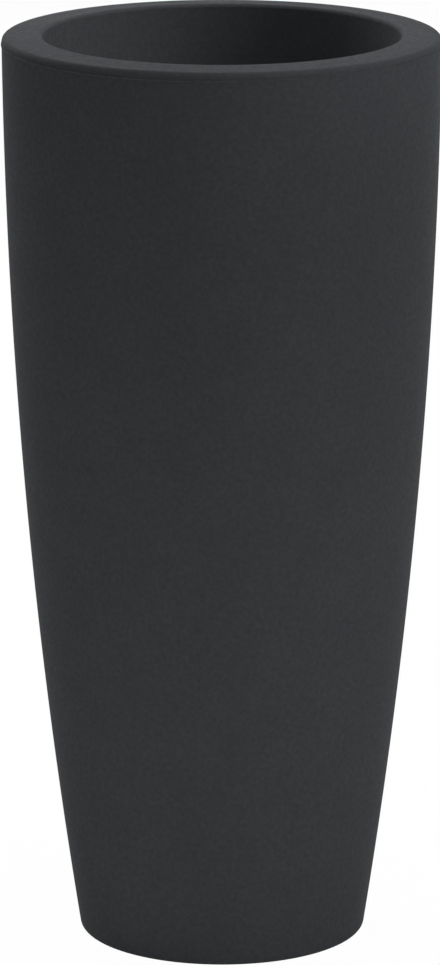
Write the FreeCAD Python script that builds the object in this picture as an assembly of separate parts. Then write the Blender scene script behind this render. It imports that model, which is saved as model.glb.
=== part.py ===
import FreeCAD, Part
import math
import os

# A tall round floor planter. A collar with the broad rim stands on a bowed shell. A drop-in liner hangs by
# its flange on the collar's ledge and lifts out by two folding handles. A screw plug closes the drain.
# Millimetres and degrees. +Z is up, -Y is the front, and the origin is the centre of the base on the ground.

Vector = FreeCAD.Vector
ORIGIN = Vector(0, 0, 0)
UP = Vector(0, 0, 1)
ACROSS = Vector(0, 1, 0)
FULL_TURN = 360.0
HALF_TURN = FULL_TURN / 2
CUT_OVERRUN = 5.0
SAME_POINT = 0.000001

# Pot shell: overall form.
POT_HEIGHT = 700.0
RIM_DIAMETER = 331.0
BASE_DIAMETER = 219.0
WALL_BULGE = 13.0               # how far the wall bows out of a straight cone at half height
WALL_SPANS = 4                  # arcs that the wall's long curve is drawn in
SHELL_WALL = 5.0
BASE_EDGE_RADIUS = 5.0
MOULDED_CORNER_RADIUS = 3.0     # smaller corners of the mouldings
BEAD_MARGIN = 0.3               # plain wall between the collar and the bead under it
BEAD_WIDTH = 1.6
BEAD_HEIGHT = 0.6

# Rim collar: rim, skirt and ledge, and the tongue that centres it in the shell.
RIM_WIDTH = 30.5
RIM_FALL = 1.5                  # from the mouth down to the rim's outer edge, so that water runs off
RIM_EDGE_RADIUS = 4.0
MOUTH_EDGE_RADIUS = 3.0
LIP_DEPTH = 1.0                 # plain wall between the rim's rounded edge and the joint with the shell
SKIRT_DEPTH = 70.0
SKIRT_DRAFT = 2.0
LEDGE_WIDTH = 14.0
TONGUE_DEPTH = 9.0
TONGUE_WALL = 3.0
TONGUE_CLEARANCE = 0.3

# Pot shell: standing ring and the raised middle of the floor.
FOOT_WIDTH = 14.0
KICK_HEIGHT = 20.0
KICK_SLOPE_WIDTH = 10.0

# Drain bush, plug and seal.
BUSH_BORE_DIAMETER = 24.6
BUSH_WALL = 4.7
BUSH_FLANGE_WIDTH = 7.0
BUSH_FLANGE_THICKNESS = 3.0
PLUG_CLEARANCE = 0.3
PLUG_HEAD_WIDTH = 8.0
PLUG_HEAD_THICKNESS = 3.5
PLUG_WALL = 2.5
PLUG_PROUD = 1.0                # how far the plug's end stands above the bush
PLUG_EDGE_RADIUS = 1.0
WING_LENGTH = 32.0
WING_THICKNESS = 5.0
WING_HEIGHT = 8.0
SEAL_THICKNESS = 2.5
SEAL_WIDTH = 4.6
SEAL_CLEARANCE = 0.4

# Liner pot.
LINER_WALL = 2.5
LINER_DEPTH = 300.0             # from the ledge down to the underside of the liner's feet
LINER_DRAFT = 3.3
LINER_SIDE_CLEARANCE = 1.5      # between the liner's wall and the edge of the ledge
LINER_CORNER_RADIUS = 2.0
LINER_EDGE_RADIUS = 1.0
FLANGE_THICKNESS = 4.0
FLANGE_CLEARANCE = 0.4          # between the flange and the rounded corner of the ledge
STEP_HEIGHT = 32.0
STEP_WIDTH = 5.0
LINER_FOOT_COUNT = 6
LINER_FOOT_HEIGHT = 3.0
LINER_FOOT_WIDTH = 10.0
LINER_FOOT_SPAN = 26.0
DRAIN_HOLE_DIAMETER = 9.0
OUTER_HOLE_RING_RADIUS = 66.0
OUTER_HOLE_COUNT = 8
INNER_HOLE_RING_RADIUS = 33.0
INNER_HOLE_COUNT = 4

# Handles, their lugs on the flange and their pins.
PIVOT_SPACING = 13.0            # between the axes of the two handles
PIN_DIAMETER = 4.0
PIN_CLEARANCE = 0.08
EYE_WALL = 3.5
CHEEK_THICKNESS = 2.5
CHEEK_MARGIN = 1.0              # how far a cheek stands out past the eye that it guards
LUG_MARGIN = 0.3                # between a lug and the edges of the flange
HANDLE_GAP = 0.3                # between a handle and the liner
HANDLE_THICKNESS = 6.0
HANDLE_EDGE_RADIUS = 2.0
GRIP_REACH = 7.5                # how far the grip bulges in over the mouth of the liner
GRIP_HALF_SPAN = 30.0
GRIP_BLEND_RADIUS = 40.0

# Drainage grid.
GRID_THICKNESS = 3.0
GRID_CLEARANCE = 0.4
GRID_RIB_THICKNESS = 3.0
GRID_RIB_DEPTH = 8.0
GRID_RIB_RADIUS = 50.0
GRID_SLOT_WIDTH = 4.0
GRID_SLOT_MARGIN = 3.0
GRID_HUB_RADIUS = 14.0
INNER_SLOT_COUNT = 12
OUTER_SLOT_COUNT = 24

# Sizes that follow from the ones above.
RIM_RADIUS = RIM_DIAMETER / 2
BASE_RADIUS = BASE_DIAMETER / 2
MOUTH_RADIUS = RIM_RADIUS - RIM_WIDTH
RIM_EDGE_HEIGHT = POT_HEIGHT - RIM_FALL
JOINT_HEIGHT = RIM_EDGE_HEIGHT - RIM_EDGE_RADIUS - LIP_DEPTH
LEDGE_TOP = POT_HEIGHT - SKIRT_DEPTH
LEDGE_CORNER = MOUTH_RADIUS - SKIRT_DEPTH * math.tan(math.radians(SKIRT_DRAFT))
LEDGE_INNER = LEDGE_CORNER - LEDGE_WIDTH
FLOOR_TOP = KICK_HEIGHT + SHELL_WALL
BUSH_BORE = BUSH_BORE_DIAMETER / 2
BUSH_BARREL = BUSH_BORE + BUSH_WALL
BUSH_LOW = KICK_HEIGHT - BUSH_FLANGE_THICKNESS
BUSH_TOP = FLOOR_TOP + BUSH_FLANGE_THICKNESS
PLUG_SHANK = BUSH_BORE - PLUG_CLEARANCE
PLUG_HEAD = PLUG_SHANK + PLUG_HEAD_WIDTH
PLUG_SHOULDER = BUSH_LOW - SEAL_THICKNESS
PLUG_LOW = PLUG_SHOULDER - PLUG_HEAD_THICKNESS
FLANGE_TOP = LEDGE_TOP + FLANGE_THICKNESS
FLANGE_RADIUS = LEDGE_CORNER - MOULDED_CORNER_RADIUS - FLANGE_CLEARANCE
LINER_LOW = LEDGE_TOP - LINER_DEPTH
LINER_FLOOR = LINER_LOW + LINER_FOOT_HEIGHT
STEP_TOP = LINER_LOW + STEP_HEIGHT
PIVOT_X = PIVOT_SPACING / 2
PIN_RADIUS = PIN_DIAMETER / 2
EYE_RADIUS = PIN_RADIUS + EYE_WALL
CHEEK_RADIUS = EYE_RADIUS + CHEEK_MARGIN
HANDLE_LOW = FLANGE_TOP + HANDLE_GAP
PIVOT_HEIGHT = HANDLE_LOW + EYE_RADIUS


def corner(radius, height):
    """Point of a turned outline: radius along X, height along Z."""
    return Vector(radius, 0, height)


def straight(start, end):
    return Part.LineSegment(start, end).toShape()


def curved(start, middle, end):
    return Part.Arc(start, middle, end).toShape()


def polar(radius, angle):
    """Point on the ground at an angle round Z, counted from +X."""
    turn = math.radians(angle)
    return Vector(radius * math.cos(turn), radius * math.sin(turn), 0)


def rounding(before, at, after, radius):
    """Corner of an outline: the point itself, or the start, middle and end of the arc that rounds it."""
    if radius == 0:
        return (at,)
    to_before = (before - at).normalize()
    to_after = (after - at).normalize()
    half_angle = to_before.getAngle(to_after) / 2
    reach = radius / math.tan(half_angle)
    bisector = (to_before + to_after).normalize()
    centre = at + bisector * (radius / math.sin(half_angle))
    return at + to_before * reach, centre - bisector * radius, at + to_after * reach


def run(before, corners, after):
    """Roundings of (point, radius) corners that follow each other between two outer points."""
    points = [before] + [point for point, _ in corners] + [after]
    neighbours = zip(points, corners, points[2:])
    return [rounding(last, point, coming, radius) for last, (point, radius), coming in neighbours]


def chained(items):
    """Closed wire through items in order, each a sharp point or an arc's start, middle and end."""
    edges = []
    for item, following in zip(items, items[1:] + items[:1]):
        if len(item) > 1:
            edges.append(curved(*item))
        if not item[-1].isEqual(following[0], SAME_POINT):
            edges.append(straight(item[-1], following[0]))
    return Part.Wire(edges)


def through(corners):
    """Closed wire with straight sides through (radius, height, rounding) corners."""
    placed = [(corner(radius, height), edge_radius) for radius, height, edge_radius in corners]
    return chained(run(placed[-1][0], placed, placed[0][0]))


def turned(wire, sweep=FULL_TURN):
    return Part.Face(wire).revolve(ORIGIN, UP, sweep)


def upright_cylinder(radius, low, high, place=ORIGIN):
    return Part.makeCylinder(radius, high - low, place + UP * low)


def ring_of(shape, count):
    """Copies of a shape at even steps round Z."""
    copies = []
    for index in range(count):
        copy = shape.copy()
        copy.rotate(ORIGIN, UP, index * FULL_TURN / count)
        copies.append(copy)
    return copies


def half_turned(shape):
    """Copy of a shape on the opposite side of Z."""
    copy = shape.copy()
    copy.rotate(ORIGIN, UP, HALF_TURN)
    return copy


# The wall is one arc: through the foot, the bowed middle and the top of the rim.
WALL_MIDDLE = corner((BASE_RADIUS + RIM_RADIUS) / 2 + WALL_BULGE, POT_HEIGHT / 2)
WALL_CIRCLE = Part.Circle(corner(BASE_RADIUS, 0), WALL_MIDDLE, corner(RIM_RADIUS, POT_HEIGHT))


def wall_radius(height, inset=0):
    reach = math.sqrt((WALL_CIRCLE.Radius - inset) ** 2 - (height - WALL_CIRCLE.Center.z) ** 2)
    return WALL_CIRCLE.Center.x + reach


def base_rounding():
    """Rounding between the ground and the wall: its point on the ground, its middle, its point on the wall."""
    centre = corner(wall_radius(BASE_EDGE_RADIUS, BASE_EDGE_RADIUS), BASE_EDGE_RADIUS)
    outwards = (centre - WALL_CIRCLE.Center).normalize()
    slanted = (outwards - UP).normalize()
    return corner(centre.x, 0), centre + slanted * BASE_EDGE_RADIUS, centre + outwards * BASE_EDGE_RADIUS


def wall_between(start, end, inset=0):
    """The wall's arc between two points on it, as short arcs that follow each other."""
    steps = [start.z + (end.z - start.z) * index / (2 * WALL_SPANS) for index in range(2 * WALL_SPANS)]
    points = [corner(wall_radius(height, inset), height) for height in steps] + [end]
    return list(zip(points[::2], points[1::2], points[2::2]))


def skirt_radius(height, outset):
    """Radius of the face that lies an outset behind the skirt's own face."""
    draft = math.radians(SKIRT_DRAFT)
    return MOUTH_RADIUS - (POT_HEIGHT - height) * math.tan(draft) + outset / math.cos(draft)


def joint_bead():
    """Ring of round section, sunk into the wall so that only its low crest stands out under the collar."""
    section = (BEAD_HEIGHT ** 2 + (BEAD_WIDTH / 2) ** 2) / (2 * BEAD_HEIGHT)
    height = JOINT_HEIGHT - BEAD_MARGIN - section
    return Part.makeTorus(wall_radius(height) + BEAD_HEIGHT - section, section, UP * height)


def make_pot_shell():
    """Floor and bowed wall as one strip of even wall, from the drain to the foot and up to the collar."""
    kick_slope = KICK_SLOPE_WIDTH / KICK_HEIGHT
    foot_inner = BASE_RADIUS - BASE_EDGE_RADIUS - FOOT_WIDTH
    gutter_inner = foot_inner + SHELL_WALL * (math.hypot(1, kick_slope) - kick_slope)
    drain_under = corner(BUSH_BARREL, KICK_HEIGHT)
    base = base_rounding()
    top_outer = corner(wall_radius(JOINT_HEIGHT), JOINT_HEIGHT)
    top_inner = corner(wall_radius(JOINT_HEIGHT, SHELL_WALL), JOINT_HEIGHT)
    gutter_outer = corner(wall_radius(SHELL_WALL, SHELL_WALL), SHELL_WALL)
    underside = run(drain_under, [
        (corner(foot_inner - KICK_SLOPE_WIDTH, KICK_HEIGHT), MOULDED_CORNER_RADIUS),
        (corner(foot_inner, 0), MOULDED_CORNER_RADIUS),
    ], base[0])
    wall = wall_between(base[-1], top_outer) + wall_between(top_inner, gutter_outer, SHELL_WALL)
    floor = [
        (corner(gutter_inner, SHELL_WALL),),
        (corner(gutter_inner - KICK_SLOPE_WIDTH, FLOOR_TOP),),
        (corner(BUSH_BARREL, FLOOR_TOP),),
    ]
    strip = [(drain_under,)] + underside + [base] + wall + floor
    return turned(chained(strip)).fuse(joint_bead())


def make_rim_collar():
    """Broad, slightly falling rim, the skirt and ledge that hang from it, and a tongue inside the wall."""
    rim_under = POT_HEIGHT - SHELL_WALL
    ledge_under = LEDGE_TOP - SHELL_WALL
    tongue_low = JOINT_HEIGHT - TONGUE_DEPTH
    tongue_inset = SHELL_WALL + TONGUE_CLEARANCE
    tongue_inner = wall_radius(tongue_low, tongue_inset + TONGUE_WALL)
    lip = corner(wall_radius(JOINT_HEIGHT), JOINT_HEIGHT)
    section = run(lip, [
        (corner(wall_radius(RIM_EDGE_HEIGHT), RIM_EDGE_HEIGHT), RIM_EDGE_RADIUS),
        (corner(MOUTH_RADIUS, POT_HEIGHT), MOUTH_EDGE_RADIUS),
        (corner(LEDGE_CORNER, LEDGE_TOP), MOULDED_CORNER_RADIUS),
        (corner(LEDGE_INNER, LEDGE_TOP), 0),
        (corner(LEDGE_INNER, ledge_under), 0),
        (corner(skirt_radius(ledge_under, SHELL_WALL), ledge_under), MOULDED_CORNER_RADIUS + SHELL_WALL),
        (corner(skirt_radius(rim_under, SHELL_WALL), rim_under), 0),
        (corner(tongue_inner, rim_under - RIM_FALL), 0),
        (corner(tongue_inner, tongue_low), 0),
        (corner(wall_radius(tongue_low, tongue_inset), tongue_low), 0),
        (corner(wall_radius(JOINT_HEIGHT, tongue_inset), JOINT_HEIGHT), 0),
    ], lip)
    return turned(chained([(lip,)] + section))


def make_drain_bush():
    """Sleeve through the floor with a flange on each face of it."""
    flange = BUSH_BARREL + BUSH_FLANGE_WIDTH
    return turned(through([
        (BUSH_BORE, BUSH_LOW, 0),
        (flange, BUSH_LOW, 0),
        (flange, KICK_HEIGHT, 0),
        (BUSH_BARREL, KICK_HEIGHT, 0),
        (BUSH_BARREL, FLOOR_TOP, 0),
        (flange, FLOOR_TOP, 0),
        (flange, BUSH_TOP, 0),
        (BUSH_BORE, BUSH_TOP, 0),
    ]))


def make_drain_plug():
    """Cup-shaped screw plug, open upwards, with a wing across the underside of its head to turn it by."""
    end = BUSH_TOP + PLUG_PROUD
    hollow = PLUG_SHANK - PLUG_WALL
    cup = turned(through([
        (0, PLUG_LOW, 0),
        (PLUG_HEAD, PLUG_LOW, PLUG_EDGE_RADIUS),
        (PLUG_HEAD, PLUG_SHOULDER, 0),
        (PLUG_SHANK, PLUG_SHOULDER, 0),
        (PLUG_SHANK, end, PLUG_EDGE_RADIUS),
        (hollow, end, 0),
        (hollow, PLUG_SHOULDER, PLUG_EDGE_RADIUS),
        (0, PLUG_SHOULDER, 0),
    ]))
    wing = through([
        (-WING_LENGTH / 2, PLUG_LOW + PLUG_HEAD_THICKNESS / 2, 0),
        (-WING_LENGTH / 2, PLUG_LOW - WING_HEIGHT, WING_THICKNESS / 2),
        (WING_LENGTH / 2, PLUG_LOW - WING_HEIGHT, WING_THICKNESS / 2),
        (WING_LENGTH / 2, PLUG_LOW + PLUG_HEAD_THICKNESS / 2, 0),
    ])
    wing.translate(ACROSS * (-WING_THICKNESS / 2))
    return cup.fuse(Part.Face(wing).extrude(ACROSS * WING_THICKNESS)).removeSplitter()


def make_drain_plug_seal():
    inner = PLUG_SHANK + SEAL_CLEARANCE
    outer = inner + SEAL_WIDTH
    return turned(through([
        (inner, PLUG_SHOULDER, 0),
        (outer, PLUG_SHOULDER, 0),
        (outer, BUSH_LOW, 0),
        (inner, BUSH_LOW, 0),
    ]))


def liner_radius(height, inset=0):
    """Radius of the liner's outer face above the step, or of the face that lies an inset inside it."""
    draft = math.radians(LINER_DRAFT)
    top = LEDGE_INNER - LINER_SIDE_CLEARANCE
    return top - (LEDGE_TOP - height) * math.tan(draft) - inset / math.cos(draft)


def lug_faces():
    """Y of a lug's four faces in order outwards: inner cheek, the eye's slot, outer cheek."""
    near = liner_radius(FLANGE_TOP, LINER_WALL) + LUG_MARGIN
    far = math.sqrt(FLANGE_RADIUS ** 2 - (PIVOT_X + CHEEK_RADIUS) ** 2) - LUG_MARGIN
    return near, near + CHEEK_THICKNESS, far - CHEEK_THICKNESS, far


def cheek_plate(near, far, low, grow=0):
    """Upright plate between two Y faces, its top corners round about the two pivots."""
    radius = CHEEK_RADIUS + grow
    side = PIVOT_X + radius
    top = PIVOT_HEIGHT + radius
    plate = through([(-side, low, 0), (-side, top, radius), (side, top, radius), (side, low, 0)])
    plate.translate(ACROSS * (near - grow))
    return Part.Face(plate).extrude(ACROSS * (far - near + 2 * grow))


def lug_cheeks(low, grow=0):
    """The four cheeks, two at the back and two at the front."""
    inner_near, inner_far, outer_near, outer_far = lug_faces()
    back = [
        cheek_plate(inner_near, inner_far, low, grow),
        cheek_plate(outer_near, outer_far, low, grow),
    ]
    return back + [half_turned(cheek) for cheek in back]


def pivot_rods(radius, near, far):
    """Rods along the two pivot axes, between two Y faces at the back and at the front."""
    rods = []
    for x in (-PIVOT_X, PIVOT_X):
        rod = Part.makeCylinder(radius, far - near, Vector(x, near, PIVOT_HEIGHT), ACROSS)
        rods += [rod, half_turned(rod)]
    return rods


def liner_body():
    """Tapered cup with a flange, and a step inside above the floor."""
    step_under = STEP_TOP - LINER_WALL
    floor_top = LINER_FLOOR + LINER_WALL
    outer_corner = LINER_CORNER_RADIUS + LINER_WALL
    return turned(through([
        (0, LINER_FLOOR, 0),
        (liner_radius(LINER_FLOOR, STEP_WIDTH), LINER_FLOOR, outer_corner),
        (liner_radius(step_under, STEP_WIDTH), step_under, LINER_EDGE_RADIUS),
        (liner_radius(step_under), step_under, LINER_CORNER_RADIUS),
        (liner_radius(LEDGE_TOP), LEDGE_TOP, LINER_EDGE_RADIUS),
        (FLANGE_RADIUS, LEDGE_TOP, LINER_EDGE_RADIUS),
        (FLANGE_RADIUS, FLANGE_TOP, LINER_EDGE_RADIUS),
        (liner_radius(FLANGE_TOP, LINER_WALL), FLANGE_TOP, LINER_EDGE_RADIUS),
        (liner_radius(STEP_TOP, LINER_WALL), STEP_TOP, 0),
        (liner_radius(STEP_TOP, LINER_WALL + STEP_WIDTH), STEP_TOP, LINER_EDGE_RADIUS),
        (liner_radius(floor_top, LINER_WALL + STEP_WIDTH), floor_top, LINER_CORNER_RADIUS),
        (0, floor_top, 0),
    ]))


def liner_feet():
    """Low curved pads under the floor, so that the drain holes stay clear when the liner is set down."""
    far = liner_radius(LINER_FLOOR, STEP_WIDTH) - LINER_CORNER_RADIUS - LINER_WALL
    near = far - LINER_FOOT_WIDTH
    top = LINER_FLOOR + LINER_WALL / 2
    section = through([(near, LINER_LOW, 0), (far, LINER_LOW, 0), (far, top, 0), (near, top, 0)])
    return ring_of(turned(section, LINER_FOOT_SPAN), LINER_FOOT_COUNT)


def liner_holes():
    low = LINER_FLOOR - CUT_OVERRUN
    high = LINER_FLOOR + LINER_WALL + CUT_OVERRUN
    holes = [upright_cylinder(DRAIN_HOLE_DIAMETER / 2, low, high)]
    rings = ((OUTER_HOLE_RING_RADIUS, OUTER_HOLE_COUNT), (INNER_HOLE_RING_RADIUS, INNER_HOLE_COUNT))
    for radius, count in rings:
        hole = upright_cylinder(DRAIN_HOLE_DIAMETER / 2, low, high, polar(radius, 0))
        holes += ring_of(hole, count)
    return holes


def make_liner_pot():
    inner_near, _, _, outer_far = lug_faces()
    cup = liner_body().cut(liner_holes())
    cheeks = lug_cheeks(FLANGE_TOP - FLANGE_THICKNESS / 2)
    bores = pivot_rods(PIN_RADIUS, inner_near - CUT_OVERRUN, outer_far + CUT_OVERRUN)
    return cup.fuse(liner_feet() + cheeks).cut(bores).removeSplitter()


def make_handle_pins():
    inner_near, _, _, outer_far = lug_faces()
    return Part.makeCompound(pivot_rods(PIN_RADIUS, inner_near, outer_far))


def is_line(edge):
    return isinstance(edge.Curve, Part.Line)


def handle_strap(inner, outer):
    """Half-ring strap on the +X side, with a grip that bulges inwards in the middle."""
    end_outer = math.sqrt(outer ** 2 - PIVOT_X ** 2)
    end_inner = math.sqrt(inner ** 2 - PIVOT_X ** 2)
    quarter_inner = (math.degrees(math.acos(PIVOT_X / inner)) + GRIP_HALF_SPAN) / 2
    outline = Part.Wire([
        curved(Vector(PIVOT_X, -end_outer, 0), polar(outer, 0), Vector(PIVOT_X, end_outer, 0)),
        straight(Vector(PIVOT_X, end_outer, 0), Vector(PIVOT_X, end_inner, 0)),
        curved(Vector(PIVOT_X, end_inner, 0), polar(inner, quarter_inner), polar(inner, GRIP_HALF_SPAN)),
        curved(polar(inner, GRIP_HALF_SPAN), polar(inner - GRIP_REACH, 0), polar(inner, -GRIP_HALF_SPAN)),
        curved(polar(inner, -GRIP_HALF_SPAN), polar(inner, -quarter_inner), Vector(PIVOT_X, -end_inner, 0)),
        straight(Vector(PIVOT_X, -end_inner, 0), Vector(PIVOT_X, -end_outer, 0)),
    ])
    outline.translate(UP * HANDLE_LOW)
    strap = Part.Face(outline).extrude(UP * HANDLE_THICKNESS)
    grip_ends = [edge for edge in strap.Edges if is_line(edge) and edge.CenterOfMass.x > 2 * PIVOT_X]
    strap = strap.makeFillet(GRIP_BLEND_RADIUS, grip_ends)
    long_edges = [edge for edge in strap.Edges if not is_line(edge)]
    return strap.makeFillet(HANDLE_EDGE_RADIUS, long_edges)


def make_handle():
    """Folding handle on the +X side: strap, an eye at each end, and room round the lugs."""
    _, inner_far, outer_near, _ = lug_faces()
    near = inner_far + HANDLE_GAP
    far = outer_near - HANDLE_GAP
    eye_back = Part.makeCylinder(EYE_RADIUS, far - near, Vector(PIVOT_X, near, PIVOT_HEIGHT), ACROSS)
    eye_front = Part.makeCylinder(EYE_RADIUS, far - near, Vector(PIVOT_X, -far, PIVOT_HEIGHT), ACROSS)
    handle = handle_strap(near, far).fuse([eye_back, eye_front])
    room = lug_cheeks(FLANGE_TOP, HANDLE_GAP)
    bores = pivot_rods(PIN_RADIUS + PIN_CLEARANCE, near - CUT_OVERRUN, far + CUT_OVERRUN)
    return handle.cut(room + bores).removeSplitter()


def radial_slot(near, far):
    """Upright cutter for one slot along X, with round ends."""
    half = GRID_SLOT_WIDTH / 2
    low = STEP_TOP - CUT_OVERRUN
    outline = Part.Wire([
        straight(Vector(near + half, -half, low), Vector(far - half, -half, low)),
        curved(Vector(far - half, -half, low), Vector(far, 0, low), Vector(far - half, half, low)),
        straight(Vector(far - half, half, low), Vector(near + half, half, low)),
        curved(Vector(near + half, half, low), Vector(near, 0, low), Vector(near + half, -half, low)),
    ])
    return Part.Face(outline).extrude(UP * (GRID_THICKNESS + 2 * CUT_OVERRUN))


def make_drainage_grid():
    """Slotted disc on the liner's step, with a ring rib under it between the two rings of slots."""
    radius = liner_radius(STEP_TOP, LINER_WALL) - GRID_CLEARANCE
    rib_inner = GRID_RIB_RADIUS - GRID_RIB_THICKNESS / 2
    rib_outer = GRID_RIB_RADIUS + GRID_RIB_THICKNESS / 2
    rib_low = STEP_TOP - GRID_RIB_DEPTH
    top = STEP_TOP + GRID_THICKNESS
    disc = turned(through([
        (0, STEP_TOP, 0),
        (rib_inner, STEP_TOP, 0),
        (rib_inner, rib_low, 0),
        (rib_outer, rib_low, 0),
        (rib_outer, STEP_TOP, 0),
        (radius, STEP_TOP, 0),
        (radius, top, LINER_EDGE_RADIUS),
        (0, top, 0),
    ]))
    inner_slot = radial_slot(GRID_HUB_RADIUS, rib_inner - GRID_SLOT_MARGIN)
    outer_slot = radial_slot(rib_outer + GRID_SLOT_MARGIN, radius - STEP_WIDTH - GRID_SLOT_MARGIN)
    return disc.cut(ring_of(inner_slot, INNER_SLOT_COUNT) + ring_of(outer_slot, OUTER_SLOT_COUNT))


def main():
    os.makedirs("parts", exist_ok=True)
    right_handle = make_handle()
    nodes = {
        "pot_shell": make_pot_shell(),
        "rim_collar": make_rim_collar(),
        "drain_bush": make_drain_bush(),
        "drain_plug": make_drain_plug(),
        "drain_plug_seal": make_drain_plug_seal(),
        "liner_pot": make_liner_pot(),
        "drainage_grid": make_drainage_grid(),
        "left_handle": half_turned(right_handle),
        "right_handle": right_handle,
        "handle_pins": make_handle_pins(),
    }
    for name, shape in nodes.items():
        shape.exportStep("parts/" + name + ".step")
        print(name, "solids", len(shape.Solids), "valid", shape.isValid(), "volume", round(shape.Volume))


main()
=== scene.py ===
# %% [markdown]
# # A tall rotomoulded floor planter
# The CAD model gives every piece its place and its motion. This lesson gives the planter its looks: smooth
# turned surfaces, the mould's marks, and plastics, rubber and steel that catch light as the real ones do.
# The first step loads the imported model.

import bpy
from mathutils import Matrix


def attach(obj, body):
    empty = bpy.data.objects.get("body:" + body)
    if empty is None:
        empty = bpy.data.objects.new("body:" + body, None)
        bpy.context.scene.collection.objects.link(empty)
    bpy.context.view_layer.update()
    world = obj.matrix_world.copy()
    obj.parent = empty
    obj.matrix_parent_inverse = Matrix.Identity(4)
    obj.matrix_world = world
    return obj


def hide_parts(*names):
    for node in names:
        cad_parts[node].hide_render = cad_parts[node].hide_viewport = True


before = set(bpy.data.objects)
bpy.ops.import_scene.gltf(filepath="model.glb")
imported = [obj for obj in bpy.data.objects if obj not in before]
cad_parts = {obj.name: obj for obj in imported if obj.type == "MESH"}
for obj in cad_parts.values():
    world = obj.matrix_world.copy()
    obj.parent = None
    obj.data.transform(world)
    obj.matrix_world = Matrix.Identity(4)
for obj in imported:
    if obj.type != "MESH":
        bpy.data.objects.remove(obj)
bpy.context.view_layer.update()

# %% [markdown]
# ## Modules and the unit
# Blender's own modules are bpy, for everything in the scene, and mathutils, for vectors and matrices. Points
# could be worked out one by one with them, but numpy reckons with a whole surface at once, so it does that
# here. Blender counts in metres and a mould maker in millimetres, so one factor stands between them.

# %% Modules and the unit that sizes are written in
import math

import bpy
import numpy as np
from mathutils import Matrix, Vector

MM = 0.001
print("nodes:", sorted(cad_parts))

# %% [markdown]
# ## The camera
# A picture like this is taken from a few metres away with a long lens, a little above the pot, so that the
# rim shows as a flat ellipse and the sides hardly converge. A camera that stands close would bend the wall
# and open the mouth too far. The distance, height and lens below make the pot's outline fill the tall frame
# as it does in the photograph.

# %% Camera
CAMERA_PLACE = Vector((0.0, -4.4955, 1.4645))   # metres
CAMERA_AIM = Vector((-0.0015, 0.0, 0.3522))
CAMERA_ROLL = math.radians(-0.03)
FRAME_HEIGHT_PX = 965
FOCAL_PX = 6054.5
SENSOR_HEIGHT = 36.0            # millimetres, as the lens is


def facing(place, aim):
    """Matrix that stands a camera or a lamp at a place, with its -Z axis turned to a point."""
    turn = (aim - place).to_track_quat("-Z", "Y").to_matrix().to_4x4()
    return Matrix.Translation(place) @ turn


camera_data = bpy.data.cameras.new("photo_camera")
camera_data.sensor_fit = "VERTICAL"
camera_data.sensor_height = SENSOR_HEIGHT
camera_data.lens = FOCAL_PX / FRAME_HEIGHT_PX * SENSOR_HEIGHT
camera = bpy.data.objects.new("photo_camera", camera_data)
bpy.context.collection.objects.link(camera)
camera.matrix_world = facing(CAMERA_PLACE, CAMERA_AIM) @ Matrix.Rotation(CAMERA_ROLL, 4, "Z")
bpy.context.scene.camera = camera
distance = (CAMERA_AIM - CAMERA_PLACE).length
print("camera", round(distance, 3), "m away, lens", round(camera_data.lens, 1), "mm")

# %% [markdown]
# ## Turned surfaces
# Most pieces of a planter are turned shapes: one outline carried round the upright axis. Blender has a Spin
# tool and a Screw modifier for that, but a grid of points worked out at once is exact, closes on itself and
# needs no clean-up. The outline is a list of corners, and each corner is replaced by an arc of its radius,
# as a mould maker rounds every edge so that the plastic flows and lets go.

# %% Outline with rounded corners
TINY = 1e-12                    # keeps a straight corner from dividing by zero
SAME_POINT = 1e-6               # points that are closer than this, in mm, are one point


def rounded_outline(corners, arc_points):
    """Outline in (radius, height) through corners given as rows of radius, height and rounding, in mm.

    At each corner the two unit directions to its neighbours give the half angle between them. The arc's
    centre lies on their bisector at rounding / sin(half angle), and the arc runs from one tangent point to
    the other by even turns. A rounding of 0 leaves the corner as a single point.
    """
    table = np.asarray(corners, dtype=float)
    points, rounding = table[:, :2], table[:, 2:]
    back = np.roll(points, 1, axis=0) - points
    ahead = np.roll(points, -1, axis=0) - points
    back /= np.linalg.norm(back, axis=1, keepdims=True)
    ahead /= np.linalg.norm(ahead, axis=1, keepdims=True)
    half = np.arccos(np.clip(np.sum(back * ahead, axis=1, keepdims=True), -1, 1)) / 2
    bisector = back + ahead
    bisector /= np.maximum(np.linalg.norm(bisector, axis=1, keepdims=True), TINY)
    centre = points + bisector * rounding / np.sin(half)
    start = points + back * rounding / np.tan(half) - centre
    across = points + ahead * rounding / np.tan(half) - centre
    share = np.linspace(0, 1, arc_points)[None, :, None]
    sweep = (math.pi - 2 * half)[:, :, None]
    blend_start = np.sin((1 - share) * sweep) / np.maximum(np.sin(sweep), TINY)
    blend_end = np.sin(share * sweep) / np.maximum(np.sin(sweep), TINY)
    arcs = centre[:, None, :] + start[:, None, :] * blend_start + across[:, None, :] * blend_end
    path = arcs.reshape(-1, 2)
    moved = np.linalg.norm(path - np.roll(path, 1, axis=0), axis=1)
    return path[moved > SAME_POINT]


tile = rounded_outline([[0, 0, 1], [4, 0, 1], [4, 4, 1], [0, 4, 1]], 5)
print("a square with four rounded corners has", len(tile), "points")

# %% [markdown]
# A mesh made from a grid needs its faces in a fixed order, so that all of them look outwards. The grid below
# wraps round in the turning direction, and also along the outline where the outline is closed. A Weighted
# Normal modifier finishes every piece: it lets the large faces shade flat right up to the edge of a
# rounding, where plain smooth shading would smear the rounding over them.

# %% Mesh from a grid of points
FLAT_FACE_WEIGHT = 100          # the most that a large face can count over a small one


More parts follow.
